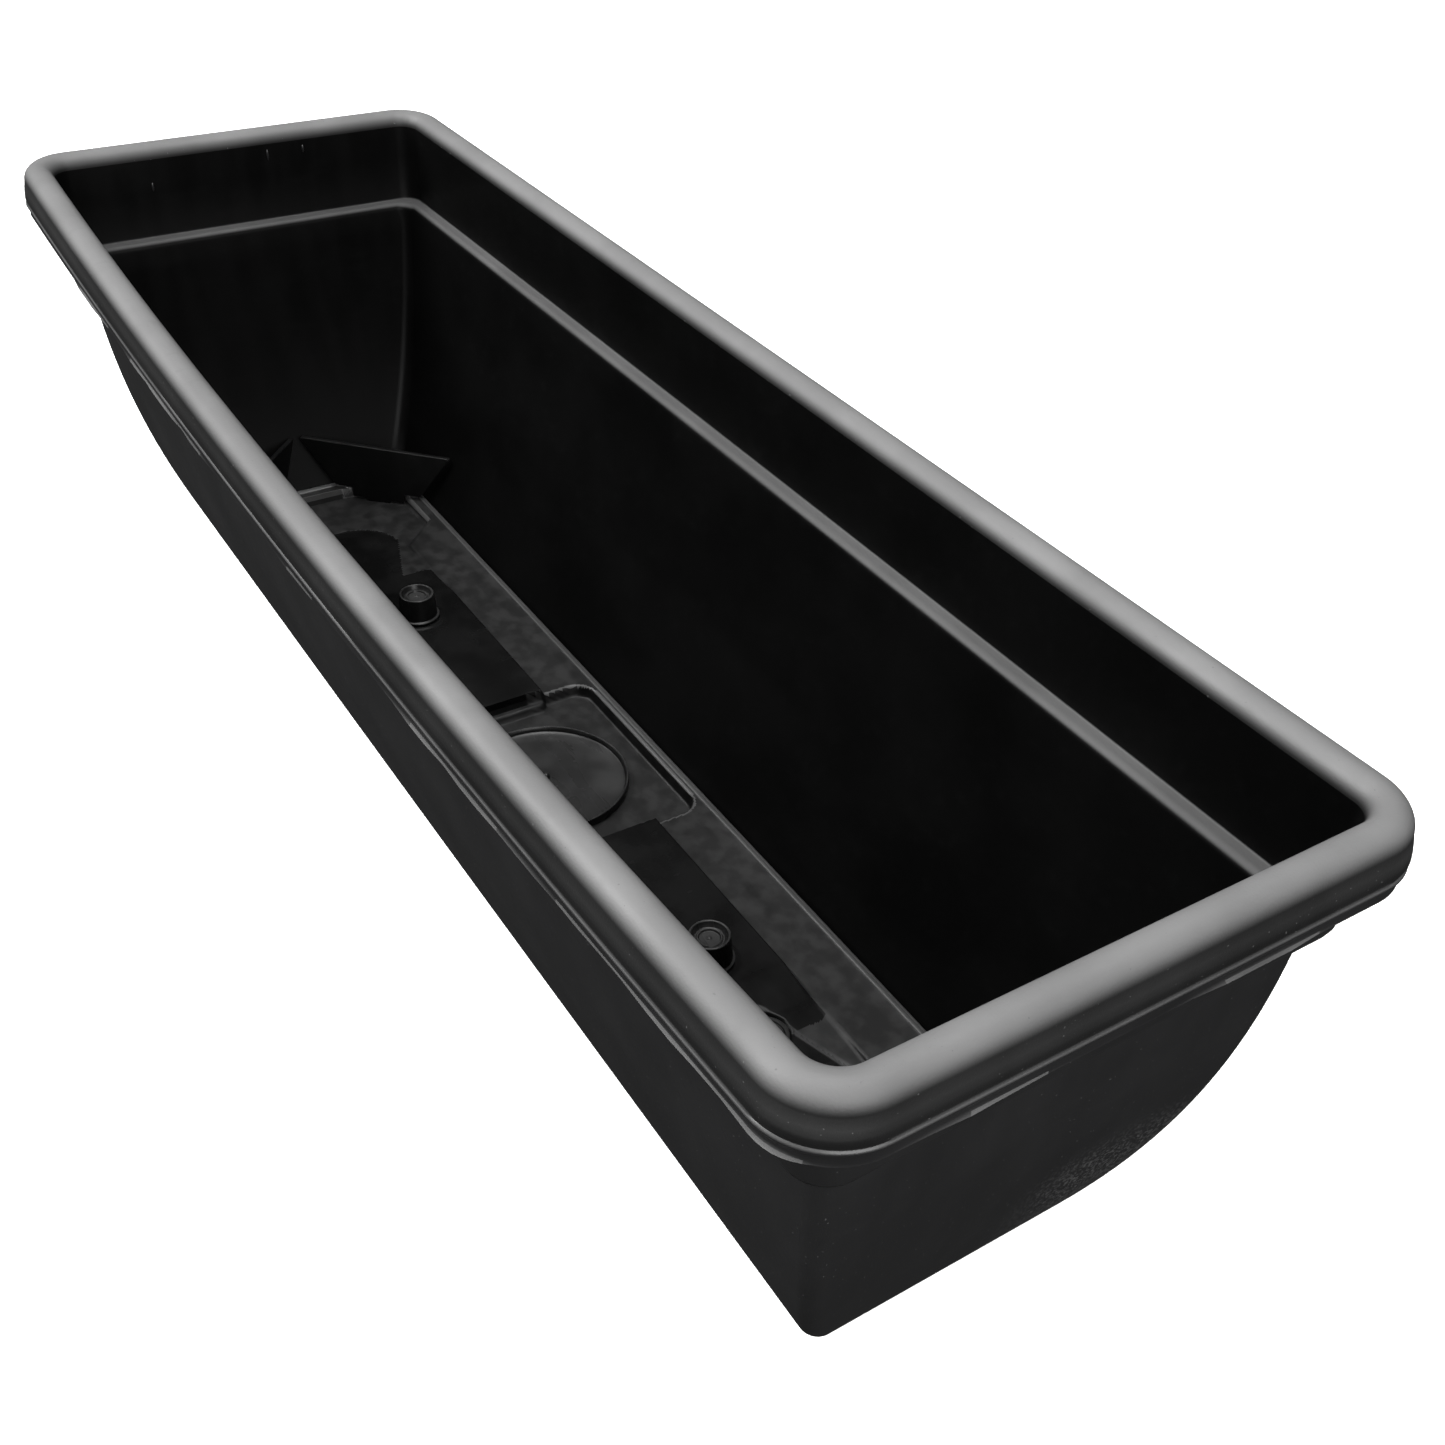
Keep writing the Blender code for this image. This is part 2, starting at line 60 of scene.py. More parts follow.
RIM_CORNER = 0.0136
WALL = 0.0024
BEAD_DEPTH = 0.0149
BEAD_RADIUS = 0.0011
SKIRT_DEPTH = 0.0198
SKIRT_FLARE = 0.0010
FLASH = 0.0006                 # height of the broken moulding flash along the lip
LEDGE_DEPTH = 0.0393
LEDGE_FLAT = 0.0090
LEDGE_ROUND = 0.0030
BODY_DEPTH = 0.0420
BODY_INSET = 0.0100
BODY_DRAFT = 0.0075
BODY_CURVE = 0.0340
BODY_POWER = 2.4
BODY_CORNER = 0.0052
BASE_THICKNESS = 0.0045
FOOT_HEIGHT = 0.0020
FOOT_WIDTH = 0.0080
STANDPIPE_RADIUS = 0.0072
STANDPIPE_BORE = 0.0051
STANDPIPE_TOP = 0.0255

# Patch of painted speckled glare low on the near end, where the wall curves in at its foot; it fades
# in along x and y, and out between two heights
PATCH_NEAR = (0.235, 0.250)
PATCH_SIDE = (-0.005, 0.025)
PATCH_RISE = (0.068, 0.092)

# Material slots of the trough and of the false floor
WALL_SLOT, LIP_SLOT, RIM_SLOT, INSIDE_SLOT, TORN_SLOT = range(5)
# the false floor's last slot is a painted highlight on its rounded edges
STRIP_SLOT, PANEL_SLOT, EDGE_HIGHLIGHT_SLOT = range(3)
TORN_SHARE = 0.35              # flash standing out by more than this share looks torn and pale

# False floor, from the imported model's box; heights are above its level strip
PLATE_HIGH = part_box("reservoir_plate")[1]
PLATE_LENGTH = PLATE_HIGH[0]
PLATE_WIDTH = PLATE_HIGH[1]
PANEL_RISE = 0.0030
BOSS_HEIGHT = 0.0006
STRIP_TOP = PLATE_HIGH[2] - PANEL_RISE - BOSS_HEIGHT
PLATE = 0.0020
END_STRIP = 0.0070
PLATE_LIP = 0.0015             # height of the lip along the plate's edge
PLATE_LIP_WIDTH = 0.0018
HEAD_WIDTH = 0.0395
HEAD_DROP = 0.0045
HEAD_INNER = 0.1500
NECK_OUTER = 0.1830
PANEL_WIDTH = 0.0225
PANEL_INNER = 0.0466
PANEL_FLAT = 0.1340            # where a panel's flat top ends and its ramp begins
PANEL_LINE = 0.2660
DARK_OUTER = 0.1600            # where a panel's glossier inner part ends
PAD_LENGTH = 0.0463
PAD_WIDTH = 0.0418
PAD_CORNER = 0.0080
PAD_DROP = 0.0047
CORNER_LINE = 0.2681           # |x| + |y| along the plate's cut corners
CELL = 0.0007                  # spacing of the plate's mesh
EDGE = 0.0014                  # width over which a moulded edge is rounded
LOBE_INNER, LOBE_OUTER = 0.150, 0.1925      # centres of the two ends of a drain lobe
LOBE_NARROW, LOBE_WIDE = 0.0060, 0.0208     # its radius at each end
LOBE_DROP = 0.0005
LEG_PLACES = [(0.075, 0.022, 0.0010), (0.190, 0.016, 0.0030)]
LEG_RADIUS = 0.0040

# Fittings
PLUG_X = 0.1205
PLUG_HOLE = 0.0051
PLUG_HEIGHT = 0.0115
PLUG_RADIUS = 0.0082
PLUG_TOP_RADIUS = 0.0074
PLUG_FLANGE = 0.0092
PLUG_STEM = 0.0046
PLUG_DIP = 0.0150
BOSS_RADIUS = 0.0105
CAP_RADIUS = 0.0322
CAP_HEIGHT = 0.0034
CAP_SPIGOT = 0.0120
CAP_DIP = 0.0055
BUNG_X = 0.1560
BUNG_RADIUS = 0.0083
BUNG_THICKNESS = 0.0012
BUNG_SPIGOT = 0.0060
BUNG_DIP = 0.0050
GAP = 0.0003

# Corner baffles
BAFFLE_LINE = 0.2636
BAFFLE_Y = 0.0291
BAFFLE_THICKNESS = 0.0024
BAFFLE_TOP = 0.0540
BAFFLE_TOP_HALF = 0.0380
BAFFLE_FOOT_HALF = 0.0217
BAFFLE_SEAT_HALF = 0.0130
BAFFLE_SINK = 0.0031
TONGUE_HALF = 0.0055
TONGUE_LENGTH = 0.0095

# Mesh divisions
CORNER_STEPS = 14
LONG_STEPS = 56
SHORT_STEPS = 14
ROUND_STEPS = 64

# Camera, solved against the rim, ledge and floor lines
CAMERA_PLACE = (0.4511, -0.2180, 0.4312)
CAMERA_AZIMUTH = 54.674
CAMERA_ELEVATION = 37.619
CAMERA_ROLL = 3.749
CAMERA_LENS = 40.82
CAMERA_SHIFT = (-0.0272, 0.0148)

# Pale floor that sweeps up into a wall
SWEEP_FLAT = 4.0
SWEEP_RADIUS = 3.0
WALL_TOP = 9.0


# ---------------------------------------------------------------- materials
def new_material(name):
    material = bpy.data.materials.new(name)
    material.use_nodes = True
    return material, material.node_tree


def add_noise(tree, scale, detail=2.0, stretch=(1.0, 1.0, 1.0), offset=0.0):
    """Noise in the object's own space, in cycles per metre; a stretch below 1 makes streaks."""
    place = tree.nodes.new("ShaderNodeTexCoord")
    mapping = tree.nodes.new("ShaderNodeMapping")
    mapping.inputs["Scale"].default_value = stretch
    mapping.inputs["Location"].default_value = (offset, offset, offset)
    texture = tree.nodes.new("ShaderNodeTexNoise")
    texture.inputs["Scale"].default_value = scale
    texture.inputs["Detail"].default_value = detail
    tree.links.new(place.outputs["Object"], mapping.inputs["Vector"])
    tree.links.new(mapping.outputs["Vector"], texture.inputs["Vector"])
    return texture.outputs["Fac"]


def remap(tree, value, low, high, to_low, to_high):
    """Stretch the range low to high of a value to another range, with smooth ends."""
    node = tree.nodes.new("ShaderNodeMapRange")
    node.interpolation_type = "SMOOTHSTEP"
    node.inputs["From Min"].default_value = low
    node.inputs["From Max"].default_value = high
    node.inputs["To Min"].default_value = to_low
    node.inputs["To Max"].default_value = to_high
    tree.links.new(value, node.inputs["Value"])
    return node.outputs["Result"]


def mix_colours(tree, share, first, second):
    """Blend two colours; each is three numbers or a node's output."""
    node = tree.nodes.new("ShaderNodeMix")
    node.data_type = "RGBA"
    tree.links.new(share, node.inputs["Factor"])
    for socket, colour in ((node.inputs[6], first), (node.inputs[7], second)):
        if isinstance(colour, tuple):
            socket.default_value = (*colour, 1.0)
        else:
            tree.links.new(colour, socket)
    return node.outputs[2]


def combine(tree, operation, first, second):
    """Maths on the outputs of two nodes."""
    node = tree.nodes.new("ShaderNodeMath")
    node.operation = operation
    tree.links.new(first, node.inputs[0])
    tree.links.new(second, node.inputs[1])
    return node.outputs[0]


def position(tree, axis):
    """One coordinate of the surface in the object's own space, in metres."""
    place = tree.nodes.new("ShaderNodeTexCoord")
    split = tree.nodes.new("ShaderNodeSeparateXYZ")
    tree.links.new(place.outputs["Object"], split.inputs["Vector"])
    return split.outputs[axis]


def upward(tree, low, high):
    """0 on upright faces and 1 on level ones, between two heights of the surface's normal."""
    place = tree.nodes.new("ShaderNodeTexCoord")
    split = tree.nodes.new("ShaderNodeSeparateXYZ")
    tree.links.new(place.outputs["Normal"], split.inputs["Vector"])
    return remap(tree, split.outputs["Z"], low, high, 0.0, 1.0)


def glare_patch(tree):
    """1 in the patch of painted glare low on the near end of the trough, fading out upwards and
    sideways.
    """
    near = remap(tree, position(tree, "X"), *PATCH_NEAR, 0.0, 1.0)
    below = remap(tree, position(tree, "Z"), *PATCH_RISE, 1.0, 0.0)
    beside = remap(tree, position(tree, "Y"), *PATCH_SIDE, 0.0, 1.0)
    return combine(tree, "MULTIPLY", near, combine(tree, "MULTIPLY", below, beside))


def grey(level, blue=0.0):
    return level, level, level + blue


def add_top_light(tree, tone, mottle, top_lit, lit_tilts, patchy):
    """Paint top light: turn the level faces a paler grey, less so where the mottling is dark."""
    top_light_share = combine(tree, "MULTIPLY", upward(tree, *lit_tilts),
                    remap(tree, mottle, 0.38, 0.66, 1.0 - patchy, 1.0))
    return mix_colours(tree, top_light_share, tone, top_lit)


def add_specks(tree, tone, level):
    dots = add_noise(tree, 1300.0, 0.0, (1.0, 1.0, 1.0), 11.3)
    return mix_colours(tree, remap(tree, dots, 0.83, 0.88, 0.0, 1.0), tone, grey(level))


def add_glare_specks(tree, tone):
    """Paint speckled glare into the patch low on the near end."""
    glare_dots = add_noise(tree, 900.0, 1.0, (1.0, 1.0, 1.0), 5.9)
    share = combine(tree, "MULTIPLY", glare_patch(tree), remap(tree, glare_dots, 0.50, 0.66, 0.0, 1.0))
    return mix_colours(tree, share, tone, grey(0.11))


def add_roughness(tree, shader, low, high):
    """Flow streaks between two roughnesses, and short scuffs that are a little rougher."""
    flow = add_noise(tree, 16.0, 5.0, (1.0, 6.0, 1.0), 3.1)
    scuff = add_noise(tree, 210.0, 3.0, (1.0, 0.25, 1.0), 7.7)
    rough = combine(tree, "ADD", remap(tree, flow, 0.35, 0.65, low, high),
                    remap(tree, scuff, 0.55, 0.72, 0.0, 0.06))
    tree.links.new(rough, shader.inputs["Roughness"])


def add_grain(tree, shader, grain, depth, strength):
    fine = add_noise(tree, grain, 2.0)
    bump = tree.nodes.new("ShaderNodeBump")
    bump.inputs["Strength"].default_value = strength
    bump.inputs["Distance"].default_value = depth
    tree.links.new(fine, bump.inputs["Height"])
    tree.links.new(bump.outputs["Normal"], shader.inputs["Normal"])


def moulded_plastic(name, base, bloom, roughness, specular, grain=1900.0, depth=0.00003,
                    strength=0.35, specks=0.0, top_lit=None, lit_tilts=(0.05, 0.75),
                    mottling=28.0, patchy=0.15, glare=False):
    """Black moulded plastic: two close tones, fine grain, flow streaks, scuffs and a few specks.

    roughness is a range; bloom is the paler tone of flow marks; specks is their brightness;
    top_lit is the paler grey of painted top light on its level faces, and lit_tilts the tilts between
    which it fades in;
    mottling is the scale of the patches, and patchy the share of that painted top light that they
    take away;
    glare adds a patch of painted speckled glare low on the near end.
    """
    material, tree = new_material(name)
    shader = tree.nodes["Principled BSDF"]
    shader.inputs["Specular IOR Level"].default_value = specular
    mottle = add_noise(tree, mottling, 4.0)
    tone = mix_colours(tree, remap(tree, mottle, 0.38, 0.66, 0.0, 1.0), base, bloom)
    # paler level faces: painted top light
    if top_lit:
        tone = add_top_light(tree, tone, mottle, top_lit, lit_tilts, patchy)
    if specks:
        tone = add_specks(tree, tone, specks)
    # speckled glare painted low on the near end
    if glare:
        tone = add_glare_specks(tree, tone)
    tree.links.new(tone, shader.inputs["Base Color"])
    add_roughness(tree, shader, *roughness)
    add_grain(tree, shader, grain, depth, strength)
    return material


def make_materials():
    """Every plastic, by a short name."""
    # The paler grey given to level faces below is painted top light: on the lip's bead, the rim's
    # top, the inside ledge, the false floor and the fittings.
    return {
        # The wall's speckled patch low on the near end is painted glare.
        "wall": moulded_plastic("wall_plastic", grey(0.018, 0.0005), grey(0.022, 0.0005),
                                (0.42, 0.52), 0.4, specks=0.12, glare=True),
        "lip": moulded_plastic("lip_plastic", grey(0.016, 0.0005), grey(0.022, 0.0005),
                               (0.30, 0.40), 0.5, top_lit=grey(0.11)),
        "rim": moulded_plastic("rim_plastic", grey(0.010), grey(0.014), (0.46, 0.56), 0.32,
                               grain=1500.0, depth=0.00008, strength=0.6, specks=0.12,
                               top_lit=grey(0.17), lit_tilts=(0.0, 0.85)),
        # The inside is the outer wall's plastic; its far darker base colour is painted shade.
        "inside": moulded_plastic("shaded_inside_plastic", grey(0.0016), grey(0.0021),
                                  (0.36, 0.46), 0.12, top_lit=grey(0.10), lit_tilts=(0.45, 0.9)),
        "torn": moulded_plastic("torn_plastic", grey(0.10), grey(0.15), (0.40, 0.55), 0.4),
        "strip": moulded_plastic("floor_plastic", grey(0.002), grey(0.004), (0.34, 0.54), 0.24,
                                 top_lit=grey(0.025), lit_tilts=(0.45, 0.95), mottling=150.0,
                                 patchy=0.55),
        "panel": moulded_plastic("panel_plastic", grey(0.0015), grey(0.003), (0.16, 0.26), 0.12,
                                 top_lit=grey(0.0085), lit_tilts=(0.5, 0.95), mottling=55.0,
                                 patchy=0.6),
        # Paler tone for the false floor's rounded edges: painted highlight.
        "edge_highlight": moulded_plastic("edge_highlight_plastic", grey(0.020), grey(0.034), (0.28, 0.40), 0.5,
                                  top_lit=grey(0.075)),
        "baffle": moulded_plastic("baffle_plastic", grey(0.0035), grey(0.006), (0.36, 0.50),
                                  0.25),
        "fittings": moulded_plastic("fittings_plastic", grey(0.003), grey(0.006), (0.24, 0.34),
                                    0.30, top_lit=grey(0.038), lit_tilts=(0.25, 0.95),
                                    mottling=60.0, patchy=0.5)}


# ---------------------------------------------------------------- meshes
def add_piece(name, mesh, materials, body, slot, *nodes):
    """Link a finished mesh, give it its materials, and let it stand for its CAD nodes."""
    obj = bpy.data.objects.new(name, mesh)
    for material in materials:
        mesh.materials.append(material)
    bpy.context.scene.collection.objects.link(obj)
    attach(obj, body)
    if nodes:
        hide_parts(*nodes)
    return obj


def finish_mesh(bm, name, sharp=40):
    bmesh.ops.recalc_face_normals(bm, faces=bm.faces)
    mesh = bpy.data.meshes.new(name)
    bm.to_mesh(mesh)
    bm.free()
    mesh.shade_smooth()
    mesh.set_sharp_from_angle(angle=math.radians(sharp))
    return mesh


def arc(centre_r, centre_z, radius, start, end, steps):
    """Points of an arc in the (r, z) plane, angles in degrees."""
    points = []
    for step in range(steps + 1):
        angle = math.radians(start + (end - start) * step / steps)
        points.append((centre_r + radius * math.cos(angle), centre_z + radius * math.sin(angle)))
    return points


def rounded_rectangle(half_x, half_y, radius):
    """Points round a rectangle with arc corners, anticlockwise from +X."""
    points = []
    for quarter, (sx, sy) in enumerate([(1, 1), (-1, 1), (-1, -1), (1, -1)]):
        centre_x = sx * (half_x - radius)
        centre_y = sy * (half_y - radius)
        for step in range(CORNER_STEPS + 1):
            angle = math.radians(90 * (quarter + step / CORNER_STEPS))
            points.append((centre_x + radius * math.cos(angle),
                           centre_y + radius * math.sin(angle)))
        last_x, last_y = points[-1]
        divisions = LONG_STEPS if quarter % 2 == 0 else SHORT_STEPS
        for division in range(1, divisions):
            share = 2 * division / divisions
            if quarter % 2 == 0:
                points.append((last_x * (1 - share), last_y))
            else:
                points.append((last_x, last_y * (1 - share)))
    return points


def lathe(bm, profile, place=(0.0, 0.0, 0.0), steps=ROUND_STEPS):
    """Turn an (r, z) profile round a vertical axis; points on the axis become single vertices."""
    rings = []
    for r, z in profile:
        if r == 0:
            rings.append([bm.verts.new((place[0], place[1], place[2] + z))])
            continue
        ring = []
        for step in range(steps):
            angle = 2 * math.pi * step / steps
            ring.append(bm.verts.new((place[0] + r * math.cos(angle),
                                      place[1] + r * math.sin(angle), place[2] + z)))
        rings.append(ring)
    for upper, lower in zip(rings, rings[1:]):
        for i in range(steps):
            j = (i + 1) % steps
            corners = [upper[i % len(upper)], lower[i % len(lower)],
                       lower[j % len(lower)], upper[j % len(upper)]]
            bm.faces.new(list(dict.fromkeys(corners)))


# ---------------------------------------------------------------- trough
def taper(depth):
    return max(0.0, (depth - BODY_DEPTH) / (HEIGHT - BODY_DEPTH))


def wall_inset(depth):
    return BODY_INSET + BODY_DRAFT * taper(depth) + BODY_CURVE * taper(depth) ** BODY_POWER


def levels(section, slot, flash=0.0):
    """Give each (inset, depth, corner radius) of a section its material slot and flash height."""
    return [(inset, depth, radius, slot, flash) for inset, depth, radius in section]


def wall_section():
    edge = wall_inset(HEIGHT)
    section = [(edge + FOOT_WIDTH + 0.001, HEIGHT - FOOT_HEIGHT, 0.004),
               (edge + FOOT_WIDTH, HEIGHT, 0.004),
               (edge + 0.0020, HEIGHT, BODY_CORNER),
               (edge + 0.0008, HEIGHT - 0.0003, BODY_CORNER),
               (edge + 0.0002, HEIGHT - 0.0012, BODY_CORNER)]
    low, high, steps = HEIGHT - 0.003, BODY_DEPTH - 0.0008, 28
    for step in range(steps + 1):
        depth = low + (high - low) * step / steps
        section.append((wall_inset(depth), depth, BODY_CORNER))
    hollow = RIM_RADIUS - WALL + 0.0004
    section += [(LEDGE_FLAT, LEDGE_DEPTH + 0.0016, 0.0060),
                (hollow + 0.0008, LEDGE_DEPTH + 0.0010, 0.0098),
                (hollow, LEDGE_DEPTH - 0.0010, 0.0100)]
    section += [(r, -z, RIM_CORNER - r) for r, z in arc(0, -RIM_RADIUS, hollow, 0, 180, 8)]
    section.append((-hollow - SKIRT_FLARE, BEAD_DEPTH, RIM_CORNER + hollow))
    return section


def rim_levels():
    """The lip's broken flash line, the bead, and the grained half-round rim."""
    face = RIM_RADIUS + 0.0003
    hollow = RIM_RADIUS - WALL + 0.0004
    lip = levels([(-hollow - SKIRT_FLARE, SKIRT_DEPTH, RIM_CORNER + hollow)], LIP_SLOT)
    lip += levels([(-face, SKIRT_DEPTH - 0.0001, RIM_CORNER + face)], LIP_SLOT,
                  FLASH)
    lip += levels([(-face + 0.0001, SKIRT_DEPTH - 0.0008, RIM_CORNER + face)], LIP_SLOT,
                  FLASH / 10)
    lip += levels([(-face, BEAD_DEPTH + 0.0019, RIM_CORNER + face),
                   (-face - 0.0002, BEAD_DEPTH + 0.0012, RIM_CORNER + face)], LIP_SLOT)
    bead = [(-r, -z, RIM_CORNER + r) for r, z in
            arc(BEAD_REACH - BEAD_RADIUS, -BEAD_DEPTH, BEAD_RADIUS, -75, 60, 6)]
    outer = RIM_RADIUS + SKIRT_FLARE
    tube = [(-outer, BEAD_DEPTH - 0.0022, RIM_CORNER + RIM_RADIUS),
            (-outer + 0.2 * SKIRT_FLARE, 0.0105, RIM_CORNER + RIM_RADIUS),
            (-outer + 0.5 * SKIRT_FLARE, 0.0083, RIM_CORNER + RIM_RADIUS)]
    tube += [(r, -z, RIM_CORNER - r) for r, z in arc(0, -RIM_RADIUS, RIM_RADIUS, 180, 0, 28)]
    return lip + levels(bead, LIP_SLOT) + levels(tube, RIM_SLOT)


def inside_section():
    section = [(RIM_RADIUS + 0.0001, LEDGE_DEPTH * 0.5, 0.0078),
               (RIM_RADIUS + 0.0002, LEDGE_DEPTH - 0.0009, 0.0078),
               (RIM_RADIUS + 0.0004, LEDGE_DEPTH - 0.0003, 0.0076),
               (RIM_RADIUS + 0.0010, LEDGE_DEPTH, 0.0074)]
    section += [(r, -z, 0.0064) for r, z in
                arc(LEDGE_FLAT, -LEDGE_DEPTH - LEDGE_ROUND, LEDGE_ROUND, 90, 0, 9)]
    floor = HEIGHT - BASE_THICKNESS
    low, steps = floor - 0.006, 28
    for step in range(1, steps + 1):
        depth = BODY_DEPTH + (low - BODY_DEPTH) * step / steps
        section.append((wall_inset(depth) + WALL, depth, 0.0040 + 0.0030 * taper(depth)))
    foot = wall_inset(low) + WALL
    section += [(foot + 0.0036, floor - 0.0030, 0.0080),
                (foot + 0.0066, floor - 0.0008, 0.0080),
                (foot + 0.0095, floor, 0.0080)]
    return section


def flash_height(x, y):
    """Broken slivers of moulding flash along the lip: 0 to 1 round the trough."""
    value = noise.noise(Vector((x * 34.0, y * 34.0, 2.7)))
    return min(1.0, max(0.0, 5.0 * value + 0.2))


def trough_ring(bm, inset, depth, radius, flash):
    half_x = RIM_LENGTH - inset
    half_y = RIM_WIDTH - inset
    fade = max(0.0, 1.0 - depth / (0.85 * HEIGHT)) ** 1.2
    ring = []
    for x, y in rounded_rectangle(half_x, half_y, radius):
        middle = fade * (1.0 - (x / half_x) ** 2)
        push = 1.0 + flash * flash_height(x, y) / half_y
        ring.append(bm.verts.new((x * (1.0 + flash * flash_height(x, y) / half_x),
                                  y * (push + SIDE_BOW * middle / half_y),
                                  HEIGHT - depth - SIDE_SAG * middle)))
    return ring


def standpipe_profile():
    """A tube on the floor, shut at its foot, from the middle of the bore out and down."""
    low = BASE_THICKNESS + 0.0002
    bore = STANDPIPE_BORE
    profile = [(0.0, low), (bore, low), (bore, STANDPIPE_TOP - 0.0004)]
    profile += [(bore + 0.0004, STANDPIPE_TOP), (STANDPIPE_RADIUS - 0.0004, STANDPIPE_TOP)]
    profile += [(STANDPIPE_RADIUS, STANDPIPE_TOP - 0.0004), (STANDPIPE_RADIUS, low + 0.0015)]
    return profile + [(STANDPIPE_RADIUS + 0.0015, low - 0.0005), (0.0, low - 0.0010)]


def make_trough(materials):
    bm = bmesh.new()
    section = levels(wall_section(), WALL_SLOT) + rim_levels()
    section += levels(inside_section(), INSIDE_SLOT)
    rings = [trough_ring(bm, inset, depth, radius, flash)
             for inset, depth, radius, slot, flash in section]
    for lower, upper, level in zip(rings, rings[1:], section[1:]):
        for i in range(len(lower)):
            j = (i + 1) % len(lower)
            face = bm.faces.new((lower[i], lower[j], upper[j], upper[i]))
            ragged = level[4] > 0 and flash_height(*lower[i].co.xy) > TORN_SHARE
            face.material_index = TORN_SLOT if ragged else level[3]
    bm.faces.new(rings[0])
    bm.faces.new(rings[-1]).material_index = INSIDE_SLOT
    add_piece("trough_shell", finish_mesh(bm, "trough_shell", 60),
              [materials[name] for name in ("wall", "lip", "rim", "inside", "torn")],
              "trough", "trough_plastic", "trough")
    for name, side in (("far", -1), ("near", 1)):
        bm = bmesh.new()
        lathe(bm, standpipe_profile(), (side * PLUG_X, 0, 0), 40)
        add_piece(f"standpipe_{name}", finish_mesh(bm, f"standpipe_{name}"), [materials["inside"]],
                  "trough", "trough_plastic")


def make_nicks(material):
    """Small raised ejector and gate marks on the collar at the far end."""
    bm = bmesh.new()
    face = -(RIM_LENGTH - RIM_RADIUS)
    for y, depth, length in ((-0.0400, 0.0175, 0.0040), (0.0124, 0.0105, 0.0050),
                             (0.0288, 0.0098, 0.0036)):
        mark = bmesh.ops.create_icosphere(bm, subdivisions=2, radius=1.0)["verts"]
        bmesh.ops.scale(bm, verts=mark, vec=(0.0006, 0.0005, length / 2))
        bmesh.ops.translate(bm, verts=mark, vec=(face, y, HEIGHT - depth))
    add_piece("collar_marks", finish_mesh(bm, "collar_marks"), [material], "trough",
              "trough_plastic")


# ---------------------------------------------------------------- false floor
def inside_share(distance, width=EDGE):
    """1 inside a shape and 0 outside it, rounded over an edge's width."""
    t = np.clip(0.5 - distance / width, 0.0, 1.0)
    return t * t * (3.0 - 2.0 * t)


def box_distance(x, y, half_x, half_y, radius):
    """Signed distance to a rounded rectangle about the origin, negative inside."""
    dx = np.abs(x) - half_x + radius
    dy = np.abs(y) - half_y + radius
    outside = np.hypot(np.maximum(dx, 0.0), np.maximum(dy, 0.0))
    return outside + np.minimum(np.maximum(dx, dy), 0.0) - radius


def panel_distance(x, y):
    """Signed distance to a panel: its raised inner part and its arrow-shaped sunk head."""
    along = np.abs(x)
    across = np.abs(y)
    middle = (PANEL_INNER + NECK_OUTER) / 2
    neck = box_distance(along - middle, y, NECK_OUTER - middle + 0.004, PANEL_WIDTH, 0.003)
    head = np.maximum.reduce([
        along - (PLATE_LENGTH - END_STRIP),
        across - HEAD_WIDTH,
        (along + across - PANEL_LINE) / math.sqrt(2),
        (across - PANEL_WIDTH - along + NECK_OUTER) / math.sqrt(2)])
    return np.minimum(neck, head)


def glossy_part(x, y):
    """Where a panel is smooth and dark: its inner part, and the recess in its outer part."""
    middle = (PANEL_INNER + DARK_OUTER) / 2
    inner = box_distance(np.abs(x) - middle, y, DARK_OUTER - middle, PANEL_WIDTH, 0.003)
    return np.minimum(inner, lobe_distance(x, y)) < 0


def highlighted_edges(x, y):
    """Where rounded edges get a painted highlight: the plate's lip, the pad's edge and the edge of
    each head.
    """
    lip = np.minimum(PLATE_WIDTH - np.abs(y), outline_reach(y) - np.abs(x)) - PLATE_LIP_WIDTH
    pad = np.abs(box_distance(x, y, PAD_LENGTH, PAD_WIDTH, PAD_CORNER) - 0.0010) - 0.0005
    pad = np.where((np.abs(y) < PANEL_WIDTH) & (np.abs(x) > PAD_LENGTH - 0.002), 1.0, pad)
    beyond_neck = np.abs(x) > NECK_OUTER + HEAD_WIDTH - PANEL_WIDTH
    pocket = np.where(beyond_neck, np.abs(panel_distance(x, y) - 0.0006) - 0.0005, 1.0)
    return np.minimum.reduce([lip, pad, pocket]) < 0


def lobe_distance(x, y):
    """Signed distance to the shallow drop-shaped recess in each panel's outer part."""
    along = np.abs(x)
    share = np.clip((along - LOBE_INNER) / (LOBE_OUTER - LOBE_INNER), 0.0, 1.0)
    centre = LOBE_INNER + share * (LOBE_OUTER - LOBE_INNER)
    radius = LOBE_NARROW + share * (LOBE_WIDE - LOBE_NARROW)
    return np.hypot(along - centre, y) - radius


def panel_level(x):
    """Height of a panel's surface: flat, then a ramp, then a falling slope in its head."""
    along = np.abs(x)
    rise = PANEL_RISE * np.clip((HEAD_INNER - along) / (HEAD_INNER - PANEL_FLAT), 0.0, 1.0)
    fall = HEAD_DROP * (HEAD_INNER - along) / (PLATE_LENGTH - END_STRIP - HEAD_INNER)
    return np.where(along < HEAD_INNER, rise, fall)


